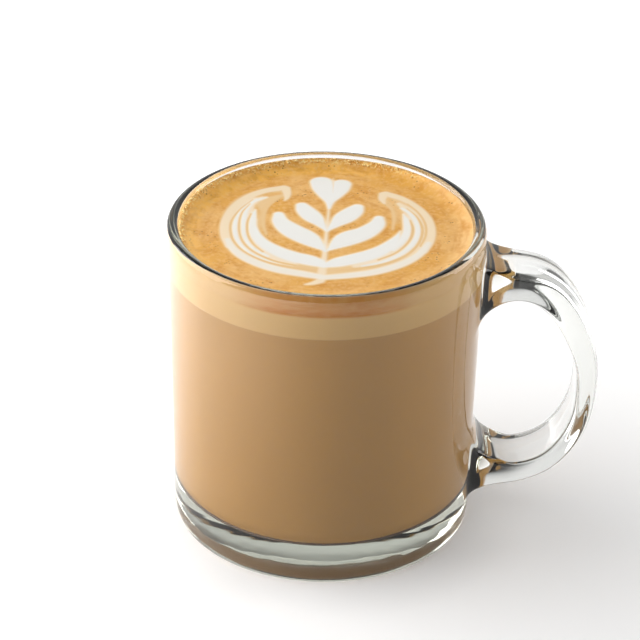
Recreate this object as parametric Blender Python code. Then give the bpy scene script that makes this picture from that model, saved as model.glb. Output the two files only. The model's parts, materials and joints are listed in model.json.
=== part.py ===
"""A latte in a clear pressed-glass mug: the mug, coffee, milk foam, crema and a poured rosetta.

Metres, +Z up. The origin is the centre of the mug's flat foot, and the handle points along +X.
"""

from math import cos, pi, radians, sin, sqrt

import bmesh
import bpy
import numpy as np
from mathutils import Vector

MM = 0.001

# Mug body
MUG_HEIGHT = 0.0896
RIM_RADIUS = 0.0430
FOOT_RADIUS = 0.0409
RIM_FLARE = 0.0005
LIP_THICKNESS = 0.0039
WALL_GAIN_TO_FOOT = 0.0008
HEEL_RADIUS = 0.0025
FLOOR_THICKNESS = 0.0095
FLOOR_CORNER_RADIUS = 0.0060
COLUMNS = 32
FOOT_LOOPS = (0.0300, 0.0365)
INNER_WALL_LOOPS = (0.0830, 0.0620, 0.0420, 0.0230)
FLOOR_LOOP = 0.0260

# Handle
HANDLE_WIDTH = 0.0170
HANDLE_CROWN = 0.0006
ROOT_COLUMNS = 2
UPPER_ROOT = (0.0830, 0.0720, 0.0600)
BETWEEN_ROOTS = 0.0470
LOWER_ROOT = (0.0070, 0.0200, 0.0340)

# Sections along the wall where a root flares: outer and inner height, half-width and lift off the wall
UPPER_FLARE = ((0.0816, 0.0630, 0.0113, 0.0001), (0.0797, 0.0673, 0.0094, 0.0020))
LOWER_FLARE = ((0.0087, 0.0290, 0.0113, 0.0001), (0.0110, 0.0225, 0.0094, 0.0022))

# Drink
GAP = 0.0003
CORNER_STEPS = 4
COFFEE_LOOPS = (0.0300, 0.0450, 0.0600)
COFFEE_LEVEL = 0.0759
FOAM_LEVEL = 0.0830
CREMA_LEVEL = 0.0857
MENISCUS_RISE = 0.0026
MENISCUS_WIDTH = 0.0030
MENISCUS_POWER = 2.4
DRINK_COLUMNS = 64

# Rosetta
ART_THICKNESS = 0.0005
STEPS_PER_SPAN = 3
TIP_STEPS = 4


def material(name, colour, roughness, transmission=0.0):
    """A Principled material with this linear colour."""
    made = bpy.data.materials.new(name)
    made.use_nodes = True
    shader = made.node_tree.nodes["Principled BSDF"]
    shader.inputs["Base Color"].default_value = (*colour, 1.0)
    shader.inputs["Roughness"].default_value = roughness
    shader.inputs["Metallic"].default_value = 0.0
    shader.inputs["Transmission Weight"].default_value = transmission
    made.diffuse_color = (*colour, 1.0)
    return made


def mesh_object(name, bm, finish):
    """Closes a bmesh into a smooth-shaded object of this name and material."""
    bmesh.ops.recalc_face_normals(bm, faces=bm.faces[:])
    mesh = bpy.data.meshes.new(name)
    bm.to_mesh(mesh)
    bm.free()
    mesh.shade_smooth()
    mesh.set_sharp_from_angle(angle=radians(40))
    mesh.materials.append(finish)
    made = bpy.data.objects.new(name, mesh)
    bpy.context.scene.collection.objects.link(made)
    return made


def outer_radius(z):
    """The outer wall: a slight taper, and a flare close to the rim."""
    rise = z / (MUG_HEIGHT - LIP_THICKNESS / 2)
    taper = RIM_RADIUS - FOOT_RADIUS - RIM_FLARE
    return FOOT_RADIUS + taper * rise + RIM_FLARE * rise**8


def inner_radius(z):
    """The inner wall, which thickens towards the foot."""
    return outer_radius(z) - LIP_THICKNESS - WALL_GAIN_TO_FOOT * (1 - z / MUG_HEIGHT)


def arc(centre, radius, start, end, count):
    """Control points, in radius and height, that smooth into a round of this radius."""
    step = (end - start) / count
    reach = radius * 3 / (2 + cos(step))
    angles = [start + step * (i + 0.5) for i in range(count)]
    return [(centre[0] + reach * cos(a), centre[1] + reach * sin(a)) for a in angles]


def mug_profile():
    """The wall's control points, from the middle of the foot over the lip to the middle of the floor."""
    half_lip = LIP_THICKNESS / 2
    lip_height = MUG_HEIGHT - half_lip
    heel_centre = (FOOT_RADIUS - HEEL_RADIUS, HEEL_RADIUS)
    lip_centre = (outer_radius(lip_height) - half_lip, lip_height)
    corner_height = FLOOR_THICKNESS + FLOOR_CORNER_RADIUS
    corner_radius = inner_radius(corner_height) - FLOOR_CORNER_RADIUS
    profile = [(0.0, 0.0)] + [(r, 0.0) for r in FOOT_LOOPS]
    profile += [(r, max(z, 0.0)) for r, z in arc(heel_centre, HEEL_RADIUS, -pi / 2, 0, 2)]
    profile += [(outer_radius(z), z) for z in (*LOWER_ROOT, BETWEEN_ROOTS, *reversed(UPPER_ROOT))]
    profile += arc(lip_centre, half_lip, 0, pi, 4)
    profile += [(inner_radius(z), z) for z in INNER_WALL_LOOPS]
    profile += arc((corner_radius, corner_height), FLOOR_CORNER_RADIUS, 0, -pi / 2, 2)
    profile += [(FLOOR_LOOP, FLOOR_THICKNESS), (0.0, FLOOR_THICKNESS)]
    return profile


def turned(profile, columns):
    """A closed bmesh: the profile, whose ends lie on the axis, spun round Z."""
    bm = bmesh.new()
    points = [bm.verts.new((r, 0.0, z)) for r, z in profile]
    lines = [bm.edges.new(pair) for pair in zip(points, points[1:])]
    bmesh.ops.spin(
        bm, geom=points + lines, cent=(0, 0, 0), axis=(0, 0, 1), angle=2 * pi, steps=columns, use_merge=True
    )
    bmesh.ops.remove_doubles(bm, verts=bm.verts[:], dist=1e-6)
    return bm


def section_offsets():
    """The handle's 12 section points: share of the half-width, and 1 outside, 0 at a side or -1 inside."""
    shares = (-1.0, -0.72, 0.0, 0.72, 1.0)
    outside = [(share, 1) for share in shares]
    inside = [(share, -1) for share in reversed(shares)]
    return outside + [(1.0, 0)] + inside + [(-1.0, 0)]


def root_opening(rows, ring_gain):
    """Where the wall's grid is opened for a root, with rows from the handle's outside to its inside."""
    step = 2 * pi / COLUMNS
    columns = list(range(-ROOT_COLUMNS, ROOT_COLUMNS + 1))
    places = [(column, rows[0]) for column in columns]
    places += [(ROOT_COLUMNS, rows[1])]
    places += [(column, rows[2]) for column in reversed(columns)]
    places += [(-ROOT_COLUMNS, rows[1])]
    points = []
    for column, z in places:
        radius = outer_radius(z) * ring_gain
        points.append(Vector((radius * cos(column * step), radius * sin(column * step), z)))
    return points


def root_section(z_outside, z_inside, half_width, lift):
    """A handle section that lies along the wall, this far off it, where the root flares into it."""
    middle = (z_outside + z_inside) / 2
    reach = (z_outside - z_inside) / 2
    points = []
    for share, side in section_offsets():
        y = share * half_width
        z = middle + side * reach
        radius = outer_radius(z) + lift
        points.append(Vector((sqrt(radius**2 - y**2), y, z)))
    return points


def through(points):
    """Control points whose smoothed line runs through these points."""
    count = len(points)
    weights = np.eye(count)
    for i in range(1, count - 1):
        weights[i, i - 1 : i + 2] = (1 / 6, 4 / 6, 1 / 6)
    return np.linalg.solve(weights, np.array(points))


def handle_sections():
    """The free part of the handle, from the upper root to the lower: x, z and thickness of each station."""
    stations = (
        (0.0500, 0.0744, 0.0082),
        (0.0556, 0.0736, 0.0083),
        (0.0608, 0.0708, 0.0082),
        (0.0654, 0.0652, 0.0076),
        (0.0690, 0.0579, 0.0070),
        (0.0713, 0.0500, 0.0062),
        (0.0716, 0.0418, 0.0057),
        (0.0706, 0.0338, 0.0055),
        (0.0674, 0.0260, 0.0057),
        (0.0617, 0.0195, 0.0060),
        (0.0546, 0.0162, 0.0066),
        (0.0500, 0.0157, 0.0074),
    )
    controls = through(stations)
    directions = np.gradient(controls[:, :2], axis=0)
    sections = []
    for (x, z, thickness), (along_x, along_z) in zip(controls, directions):
        normal = Vector((-along_z, 0.0, along_x)).normalized()
        points = []
        for share, side in section_offsets():
            crown = HANDLE_CROWN if side > 0 and abs(share) == 1.0 else 0.0
            offset = normal * (side * thickness / 2 - crown)
            points.append(Vector((x, share * HANDLE_WIDTH / 2, z)) + offset)
        sections.append(points)
    return sections


def open_root(bm, rows):
    """Removes the outer wall's faces behind a root and gives the loop of edges round the hole."""
    low, high = sorted((rows[0], rows[2]))
    limit = ROOT_COLUMNS * 2 * pi / COLUMNS
    faces = []
    for face in bm.faces:
        centre = face.calc_center_median()
        outside = centre.to_2d().length > (outer_radius(centre.z) + inner_radius(centre.z)) / 2
        near = centre.x > 0 and abs(centre.y) < centre.x * sin(limit) / cos(limit)
        if outside and near and low < centre.z < high:
            faces.append(face)
    bmesh.ops.delete(bm, geom=faces, context="FACES")
    return [edge for edge in bm.edges if edge.is_boundary and low - GAP < edge.verts[0].co.z < high + GAP]


def grow(bm, loop, here, there):
    """Extrudes a loop of edges and moves each new point from its place in one section to the next."""
    made = bmesh.ops.extrude_edge_only(bm, edges=loop)["geom"]
    for point in made:
        if isinstance(point, bmesh.types.BMVert):
            index = min(range(len(here)), key=lambda i: (here[i] - point.co).length_squared)
            point.co = there[index]
    return [edge for edge in made if isinstance(edge, bmesh.types.BMEdge) and edge.is_boundary]


def add_handle(bm, ring_gain):
    """Draws the handle out of the wall at both roots and joins the two ends."""
    upper = [root_opening(UPPER_ROOT, ring_gain)]
    upper += [root_section(*flare) for flare in UPPER_FLARE]
    upper += handle_sections()
    lower = [root_opening(LOWER_ROOT, ring_gain)]
    lower += [root_section(*flare) for flare in LOWER_FLARE]
    roots = ((upper, open_root(bm, UPPER_ROOT)), (lower, open_root(bm, LOWER_ROOT)))
    ends = []
    for sections, loop in roots:
        for here, there in zip(sections, sections[1:]):
            loop = grow(bm, loop, here, there)
        ends += loop
    bmesh.ops.bridge_loops(bm, edges=ends)


def mug():
    """The clear glass mug, with its handle drawn out of the wall as one piece."""
    ring_gain = 3 / (2 + cos(2 * pi / COLUMNS))
    profile = [(r * ring_gain, z) for r, z in mug_profile()]
    bm = turned(profile, COLUMNS)
    add_handle(bm, ring_gain)
    made = mesh_object("mug", bm, material("clear glass", (0.86, 0.89, 0.88), 0.03, 0.9))
    smoothing = made.modifiers.new("Smoothing", "SUBSURF")
    smoothing.levels = 1
    smoothing.render_levels = 1


def turned_piece(name, profile, finish):
    """A piece of the drink: its profile, from axis to axis, spun round Z."""
    mesh_object(name, turned(profile, DRINK_COLUMNS), finish)


def drink_radius(z):
    return inner_radius(z) - GAP


def coffee():
    """The milky coffee, from the glass floor to the underside of the foam."""
    floor = FLOOR_THICKNESS + GAP
    radius = FLOOR_CORNER_RADIUS
    corner_height = floor + radius
    corner_centre = drink_radius(corner_height) - radius
    profile = [(0.0, floor), (FLOOR_LOOP, floor)]
    for i in range(CORNER_STEPS + 1):
        angle = -pi / 2 + i * pi / 2 / CORNER_STEPS
        profile.append((corner_centre + radius * cos(angle), corner_height + radius * sin(angle)))
    profile += [(drink_radius(z), z) for z in (*COFFEE_LOOPS, COFFEE_LEVEL)]
    profile += [(0.0, COFFEE_LEVEL)]
    turned_piece("coffee", profile, material("coffee with milk", (0.45, 0.27, 0.13), 0.35))


def milk_foam():
    """The pale foam that shows through the glass between the coffee and the crema."""
    bottom = COFFEE_LEVEL + GAP
    profile = [(0.0, bottom), (drink_radius(bottom), bottom)]
    profile += [(drink_radius(FOAM_LEVEL), FOAM_LEVEL), (0.0, FOAM_LEVEL)]
    turned_piece("milk_foam", profile, material("milk foam", (0.76, 0.55, 0.30), 0.6))


def crema():
    """The golden top layer, which climbs the glass in a meniscus."""
    bottom = FOAM_LEVEL + GAP
    top = CREMA_LEVEL + MENISCUS_RISE
    edge = drink_radius(top)
    profile = [(0.0, bottom), (drink_radius(bottom), bottom), (edge, top)]
    for share in (0.12, 0.3, 0.5, 0.75, 1.0):
        height = CREMA_LEVEL + MENISCUS_RISE * (1 - share) ** MENISCUS_POWER
        profile.append((edge - MENISCUS_WIDTH * share, height))
    profile += [(0.0, CREMA_LEVEL)]
    turned_piece("crema", profile, material("crema", (0.74, 0.36, 0.08), 0.45))


def rosetta_strokes():
    """The poured strokes in millimetres: x, y and half-width at each point, from the round tip inwards."""
    heart = [
        [(-1.5, 29.4, 3.2), (-1.1, 26.0, 3.0), (-0.2, 22.0, 2.3), (0.5, 18.0, 1.1), (0.7, 14.0, 0.4)],
        [(4.1, 28.5, 2.7), (3.6, 25.5, 2.6), (2.4, 21.8, 2.1), (1.3, 18.3, 1.2), (0.8, 14.0, 0.4)],
    ]
    upper_leaves = [
        [(-6.7, 15.3, 1.7), (-5.6, 12.3, 2.6), (-3.8, 8.8, 2.8), (-2.0, 5.4, 1.7), (-0.1, 1.0, 0.4)],
        [(8.4, 14.9, 1.7), (7.1, 12.0, 2.8), (5.0, 8.7, 3.0), (2.8, 5.2, 1.8), (0.3, 0.8, 0.4)],
    ]
    middle_leaves = [
        [(-12.9, 9.8, 1.6), (-12.2, 5.6, 2.5), (-9.2, 0.8, 3.5), (-4.8, -3.9, 3.3), (-0.2, -10.8, 0.4)],
        [(14.2, 8.6, 1.5), (13.4, 4.6, 2.5), (10.2, 0.0, 3.3), (5.6, -3.7, 3.5), (0.3, -10.6, 0.4)],
    ]
    lower_leaves = [
        [(-17.8, -2.4, 1.0), (-15.9, -6.8, 1.9), (-11.4, -11.4, 2.7), (-5.8, -15.0, 2.9), (-0.3, -18.6, 0.9)],
        [(18.6, -3.2, 1.0), (16.8, -7.2, 1.8), (12.2, -11.5, 2.8), (6.2, -15.0, 2.8), (0.3, -18.6, 0.9)],
    ]
    outer_wings = [
        [(-11.6, 25.7, 1.3), (-18.9, 22.5, 1.2), (-24.6, 15.4, 1.1), (-27.3, 5.0, 1.1), (-26.6, -4.4, 1.2),
         (-21.8, -14.2, 1.6), (-12.6, -22.2, 1.4), (-0.4, -25.6, 1.1)],
        [(15.6, 23.0, 1.3), (21.6, 19.2, 1.2), (26.0, 12.4, 1.1), (28.1, 3.6, 1.1), (27.2, -5.4, 1.2),
         (21.4, -14.8, 1.4), (11.4, -22.0, 1.3), (0.4, -25.1, 1.1)],
    ]
    hooks = [
        [(-10.9, 24.8, 1.3), (-10.7, 21.6, 1.0), (-10.9, 18.0, 0.4)],
        [(15.4, 22.2, 1.3), (15.3, 19.4, 0.9), (16.2, 16.6, 0.4)],
    ]
    inner_wings = [
        [(-18.2, 17.6, 0.7), (-21.6, 12.6, 0.9), (-23.1, 5.2, 1.0), (-22.4, -3.4, 1.0), (-18.6, -11.6, 1.0),
         (-11.6, -17.8, 1.0), (-0.3, -21.9, 0.8)],
        [(20.8, 13.8, 0.7), (23.4, 8.8, 0.9), (24.2, 2.0, 1.0), (22.8, -6.0, 0.9), (18.6, -13.2, 0.8),
         (11.0, -18.8, 0.7), (0.3, -22.0, 0.7)],
    ]
    inmost_wings = [
        [(-19.5, 5.4, 0.8), (-19.7, 0.0, 0.8), (-18.0, -6.4, 0.9), (-13.0, -12.6, 1.0)],
        [(21.2, 5.6, 0.8), (21.4, 0.4, 0.8), (19.6, -5.6, 0.8), (14.0, -11.6, 1.0)],
    ]
    stem = [[(0.7, 16.0, 0.5), (0.2, 2.0, 0.5), (0.0, -12.0, 0.6), (-0.5, -20.0, 0.8), (-1.0, -27.0, 1.0)]]
    tail = [[(-5.4, -29.4, 0.4), (-3.2, -28.6, 0.7), (-0.9, -26.6, 0.9)]]
    leaves = heart + upper_leaves + middle_leaves + lower_leaves
    wings = outer_wings + hooks + inner_wings + inmost_wings
    return stem + tail + leaves + wings


def smooth_line(points):
    """Points along a smooth curve through these points, half-widths included."""
    points = np.array(points)
    ends = (2 * points[0] - points[1], 2 * points[-1] - points[-2])
    padded = np.vstack((ends[0], points, ends[1]))
    line = []
    for i in range(1, len(padded) - 2):
        before, start, end, after = padded[i - 1 : i + 3]
        for t in np.arange(STEPS_PER_SPAN) / STEPS_PER_SPAN:
            ahead = (end - before) / 2
            behind = (after - start) / 2
            shape = (2 * t**3 - 3 * t**2 + 1, t**3 - 2 * t**2 + t, 3 * t**2 - 2 * t**3, t**3 - t**2)
            line.append(shape[0] * start + shape[1] * ahead + shape[2] * end + shape[3] * behind)
    return np.array(line + [points[-1]])


def stroke_outline(points):
    """The outline of a stroke with round ends, in millimetres."""
    line = smooth_line(points)
    along = np.gradient(line[:, :2], axis=0)
    along /= np.linalg.norm(along, axis=1)[:, None]
    across = np.stack((-along[:, 1], along[:, 0]), axis=1)
    widths = line[:, 2:]
    left = line[:, :2] + across * widths
    right = line[:, :2] - across * widths
    angles = pi / 2 + pi * np.arange(1, TIP_STEPS * 2) / (TIP_STEPS * 2)
    tips = []
    for end, turn in ((-1, -pi), (0, 0.0)):
        spokes = [cos(a + turn) * along[end] + sin(a + turn) * across[end] for a in angles]
        tips.append(line[end, :2] + np.array(spokes) * widths[end])
    return np.vstack((left, tips[0][::-1], right[::-1], tips[1][::-1]))


def stroke_prism(name, points, bottom):
    """One stroke as a thin flat solid."""
    bm = bmesh.new()
    outline = [bm.verts.new((x * MM, y * MM, bottom)) for x, y in stroke_outline(points)]
    face = bm.faces.new(outline)
    made = bmesh.ops.extrude_face_region(bm, geom=[face])["geom"]
    top = [point for point in made if isinstance(point, bmesh.types.BMVert)]
    bmesh.ops.translate(bm, verts=top, vec=(0, 0, ART_THICKNESS))
    return mesh_object(name, bm, bpy.data.materials["milk"])


def latte_art():
    """The rosetta with its heart, joined into one thin solid that lies on the crema."""
    material("milk", (0.92, 0.86, 0.78), 0.45)
    bottom = CREMA_LEVEL + GAP
    strokes = [stroke_prism("stroke", points, bottom) for points in rosetta_strokes()]
    art = strokes[0]
    art.name = "latte_art"
    others = bpy.data.collections.new("strokes")
    for stroke in strokes[1:]:
        others.objects.link(stroke)
    union = art.modifiers.new("Union", "BOOLEAN")
    union.operation = "UNION"
    union.solver = "EXACT"
    union.operand_type = "COLLECTION"
    union.collection = others
    bpy.context.view_layer.objects.active = art
    bpy.ops.object.modifier_apply(modifier=union.name)
    for stroke in others.objects[:]:
        bpy.data.objects.remove(stroke)
    bpy.data.collections.remove(others)


def main():
    for old in bpy.data.objects[:]:
        bpy.data.objects.remove(old)
    mug()
    coffee()
    milk_foam()
    crema()
    latte_art()


main()
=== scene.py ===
"""A latte in a clear pressed-glass mug, with a poured rosetta, on a plain white studio floor."""

import json
from math import cos, pi, radians, sin, sqrt

import bmesh
import bpy
import numpy as np
from mathutils import Matrix, Vector

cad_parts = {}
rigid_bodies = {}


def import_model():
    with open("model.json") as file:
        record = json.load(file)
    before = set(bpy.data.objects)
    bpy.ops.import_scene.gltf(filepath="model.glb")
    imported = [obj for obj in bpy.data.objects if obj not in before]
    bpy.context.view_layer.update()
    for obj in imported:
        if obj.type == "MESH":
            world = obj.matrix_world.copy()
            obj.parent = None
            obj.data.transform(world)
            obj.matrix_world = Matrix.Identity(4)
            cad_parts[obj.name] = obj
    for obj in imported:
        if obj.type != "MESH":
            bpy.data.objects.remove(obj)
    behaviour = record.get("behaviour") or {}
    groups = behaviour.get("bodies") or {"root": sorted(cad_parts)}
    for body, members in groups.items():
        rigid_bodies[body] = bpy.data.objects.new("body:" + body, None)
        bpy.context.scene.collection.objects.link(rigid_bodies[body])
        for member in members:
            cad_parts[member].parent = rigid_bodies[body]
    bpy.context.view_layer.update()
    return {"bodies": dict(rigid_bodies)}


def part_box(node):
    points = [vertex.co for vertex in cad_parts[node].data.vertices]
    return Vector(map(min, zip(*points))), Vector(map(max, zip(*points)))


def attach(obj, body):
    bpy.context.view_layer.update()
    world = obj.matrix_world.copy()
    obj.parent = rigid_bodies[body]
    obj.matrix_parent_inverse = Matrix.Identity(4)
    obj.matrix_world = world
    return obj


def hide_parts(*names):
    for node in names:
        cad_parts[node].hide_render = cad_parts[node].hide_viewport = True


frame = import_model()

bl_info = {
    "name": "Latte in a Glass Mug",
    "version": (1, 0, 0),
    "blender": (4, 5, 0),
    "location": "3D View > Sidebar > Latte",
    "description": "Builds a latte with a poured rosetta in a clear glass mug",
    "category": "Object",
}

BODY = next(iter(frame["bodies"]))
MM = 0.001
WHITE = (1.0, 1.0, 1.0)
# An edge sharper than this stays crisp on the drink's pieces
CORNER = radians(40)
# Settings of a node that eases a value from one range to another
EASED = {"interpolation_type": "SMOOTHSTEP"}


def linear(hex_colour):
    """An sRGB hex colour as linear RGB."""
    channels = [int(hex_colour[i : i + 2], 16) / 255 for i in (1, 3, 5)]
    return [c / 12.92 if c <= 0.04045 else ((c + 0.055) / 1.055) ** 2.4 for c in channels]


def length(name, description, default):
    """A length property in metres."""
    return bpy.props.FloatProperty(
        name=name, description=description, default=default, min=0.0, unit="LENGTH", precision=5
    )


def colour(name, description, default):
    """A colour property from an sRGB hex value."""
    return bpy.props.FloatVectorProperty(
        name=name,
        description=description,
        default=linear(default),
        min=0.0,
        max=1.0,
        size=3,
        subtype="COLOR",
    )


def tilt(name, description, default):
    """An angle property, from its default in degrees."""
    return bpy.props.FloatProperty(
        name=name, description=description, default=radians(default), subtype="ANGLE"
    )


def number(name, description, default):
    """A plain number property."""
    return bpy.props.FloatProperty(name=name, description=description, default=default, min=0.0)


class MugSettings(bpy.types.PropertyGroup):
    """The glass mug's sizes and tint."""

    height: length("Height", "From the foot to the top of the lip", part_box("mug")[1][2])
    rim_radius: length("Rim Radius", "Outside radius at the lip", 0.0430)
    foot_radius: length("Foot Radius", "Outside radius at the foot", 0.0409)
    rim_flare: length("Rim Flare", "How far the wall flares close to the rim", 0.0005)
    lip: length("Lip Thickness", "Thickness of the rounded lip", 0.0039)
    wall_gain: length("Wall Gain", "How much thicker the wall is at the foot", 0.0008)
    heel: length("Heel Radius", "Round between the wall and the foot", 0.0025)
    floor: length("Floor Thickness", "Thickness of the glass floor", 0.0095)
    corner: length("Corner Radius", "Round between the inner wall and the floor", 0.0060)
    handle_width: length("Handle Width", "Width of the handle's strap", 0.0170)
    tint: colour("Glass Tint", "Colour of the glass seen through its thickness", "#E8EAE4")


class DrinkSettings(bpy.types.PropertyGroup):
    """The drink's levels and colours."""

    coffee_level: length("Coffee Level", "Top of the milky coffee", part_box("coffee")[1][2])
    foam_level: length("Foam Level", "Top of the pale foam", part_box("milk_foam")[1][2])
    crema_level: length("Crema Level", "Level of the crema away from the glass", 0.0860)
    meniscus_rise: length("Meniscus Rise", "How far the crema climbs the glass", 0.0026)
    meniscus_width: length("Meniscus Width", "How far from the glass the crema starts to climb", 0.0052)
    reach: length("Reach into Glass", "How far the drink reaches into the wall", 0.0001)
    relief: length("Art Relief", "How far the poured milk stands above the crema", 0.00008)
    coffee: colour("Coffee", "Milky coffee seen through the glass", "#B68949")
    # Painted shade: a dark brown for the coffee in the corner of the glass
    corner_shade: colour("Settled Coffee", "Darker coffee in the corner of the glass", "#5E4023")
    foam: colour("Foam", "Pale foam under the crema", "#CFA86B")
    crema: colour("Crema", "Golden foam on top", "#E3A74B")
    crema_deep: colour("Deep Crema", "Darker crema in its mottling and swirls", "#D18D31")
    # Pale crema, also painted as light near the glass on the front right
    crema_pale: colour("Pale Crema", "Crema mixed with milk", "#F3C98B")
    # Golden crema, also painted as light on the climb's slope at the back left
    crema_gold: colour("Golden Crema", "Clear golden crema on the climb up the glass", "#FFC45C")
    # Painted highlight: the froth's near-white specks stand for its bubbles' glints; the bigger bubbles'
    # skins take this colour too
    froth: colour("Froth", "Tiny bubbles along the glass", "#FFE29A")
    crema_pore: colour("Crema Pores", "Small dark pores in the froth", "#94602A")
    milk: colour("Poured Milk", "The white of the rosetta", "#EEECE6")
    crema_stain: colour("Crema Stain", "Crema run down inside the glass", "#BE7410")
    blend: colour("Blend", "The rosetta where milk and crema mix in equal parts", "#EAC48C")
    cream: colour("Cream", "The rosetta's bands of milk with a little crema", "#F3DDBB")


class StageSettings(bpy.types.PropertyGroup):
    """The studio's floor, lights and camera."""

    floor: colour("Floor", "Plain studio floor", "#F6F6F6")
    left_light: number("Left Light", "Power of the broad light on the left, in watts", 9.0)
    right_light: number("Right Light", "Power of the narrow light on the right, in watts", 2.6)
    top_light: number("Top Light", "Power of the light overhead, in watts", 4.8)
    # The floor's glow is held lower near the mug, as a painted shadow round it
    glow: number("Floor Glow", "Strength of the light through the floor, away from the mug", 0.34)
    # Painted light: the floor glows brighter on the left
    left_glow: number("Left Glow", "Extra strength of the light through the floor on the left", 1.45)
    sweep: number("Sweep", "Strength of the light from the white sweep behind the mug", 0.87)
    dark_side: number("Dark Side", "Strength of the room's light from the camera's side", 0.14)
    distance: length("Camera Distance", "From the aim point to the camera", 0.8)
    aim_x: bpy.props.FloatProperty(
        name="Aim Across", description="Aim point's place across", default=-0.00126, unit="LENGTH"
    )
    aim_z: length("Aim Height", "Aim point's height", 0.05908)
    elevation: tilt("Elevation", "Camera's angle above the floor", 29.587)
    roll: tilt("Roll", "Camera's turn about its own axis", 0.994)
    lens: number("Lens", "Focal length in millimetres", 165.69)


def rgba(value):
    """A colour with full alpha."""
    return (*value, 1.0)


def add_node(tree, kind, inputs, output=None, **settings):
    """Adds a node with its settings, sets or links its inputs, and gives the output that is wanted."""
    node = tree.nodes.new(kind)
    for name, value in settings.items():
        setattr(node, name, value)
    for name, value in inputs.items():
        socket = node.inputs[name]
        if isinstance(value, bpy.types.NodeSocket):
            tree.links.new(value, socket)
        else:
            socket.default_value = rgba(value) if socket.type == "RGBA" else value
    return node.outputs[output] if output else next(s for s in node.outputs if s.enabled)


def fade(tree, spot, axis, here, there, start=0.0, end=1.0):
    """A share that eases from start to end between two places along an axis."""
    along = add_node(tree, "ShaderNodeSeparateXYZ", {"Vector": spot}, axis)
    return add_node(tree, "ShaderNodeMapRange", {0: along, 1: here, 2: there, 3: start, 4: end}, **EASED)


def patches(tree, spot, size, detail, low, high, most=1.0, least=0.0):
    """Soft patches this many metres across, from least where their noise is low to most where it is high."""
    noise = add_node(tree, "ShaderNodeTexNoise", {"Vector": spot, "Scale": 1 / size, "Detail": detail})
    return add_node(tree, "ShaderNodeMapRange", {0: noise, 1: low, 2: high, 3: least, 4: most}, **EASED)


def coated(tree, tone, coats):
    """A colour with coats of other colours over it, each as strong as its share."""
    for share, coat in coats:
        tone = add_node(tree, "ShaderNodeMix", {0: share, 6: tone, 7: coat}, data_type="RGBA")
    return tone


def new_material(name):
    """A material with a Principled shader, and its node tree."""
    made = bpy.data.materials.new(name)
    made.use_nodes = True
    return made, made.node_tree, made.node_tree.nodes["Principled BSDF"]


def finished(name, bm, finish, nodes, corner=None):
    """Makes a bmesh into a smooth piece for these nodes, with edges sharper than the corner kept crisp."""
    bmesh.ops.recalc_face_normals(bm, faces=bm.faces[:])
    mesh = bpy.data.meshes.new(name)
    bm.to_mesh(mesh)
    bm.free()
    mesh.shade_smooth()
    if corner:
        mesh.set_sharp_from_angle(angle=corner)
    mesh.materials.append(finish)
    piece = bpy.data.objects.new(name, mesh)
    bpy.context.scene.collection.objects.link(piece)
    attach(piece, BODY)
    if nodes:
        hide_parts(*nodes)
    return piece


def turned(profile, columns):
    """A closed bmesh: the profile, whose ends lie on the axis, spun round Z."""
    bm = bmesh.new()
    points = [bm.verts.new((r, 0.0, z)) for r, z in profile]
    lines = [bm.edges.new(pair) for pair in zip(points, points[1:])]
    bmesh.ops.spin(
        bm, geom=points + lines, cent=(0, 0, 0), axis=(0, 0, 1), angle=2 * pi, steps=columns, use_merge=True
    )
    bmesh.ops.remove_doubles(bm, verts=bm.verts[:], dist=1e-6)
    return bm


# Mug

COLUMNS = 32
ROOT_COLUMNS = 2
SMOOTHING_LEVELS = 3
FLARE_POWER = 8
# Radius and height under the foot: a shallow recess inside the ring that the mug rests on
FOOT_LOOPS = ((0.0, 0.0012), (0.0270, 0.0012), (0.0345, 0.0003), (0.0375, 0.0))
INNER_WALL_LOOPS = (0.0830, 0.0620, 0.0420, 0.0230)
FLOOR_LOOP = 0.0260
UPPER_ROOT = (0.0830, 0.0720, 0.0600)
BETWEEN_ROOTS = 0.0470
LOWER_ROOT = (0.0070, 0.0200, 0.0340)
HANDLE_CROWN = 0.0006
ROOT_MARGIN = 0.0001

# Sections along the wall where a root flares: outer and inner height, half-width and lift off the wall
UPPER_FLARE = ((0.0816, 0.0630, 0.0113, 0.0001), (0.0797, 0.0673, 0.0094, 0.0020))
LOWER_FLARE = ((0.0087, 0.0290, 0.0113, 0.0001), (0.0110, 0.0225, 0.0094, 0.0022))


def outer_radius(mug, z):
    """The outer wall: a slight taper, and a flare close to the rim."""
    rise = z / (mug.height - mug.lip / 2)
    taper = mug.rim_radius - mug.foot_radius - mug.rim_flare
    return mug.foot_radius + taper * rise + mug.rim_flare * rise**FLARE_POWER


def inner_radius(mug, z):
    """The inner wall, which thickens towards the foot."""
    return outer_radius(mug, z) - mug.lip - mug.wall_gain * (1 - z / mug.height)


def arc(centre, radius, start, end, count):
    """Control points, in radius and height, that smooth into a round of this radius."""
    step = (end - start) / count
    reach = radius * 3 / (2 + cos(step))
    angles = [start + step * (i + 0.5) for i in range(count)]
    return [(centre[0] + reach * cos(a), centre[1] + reach * sin(a)) for a in angles]


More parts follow.
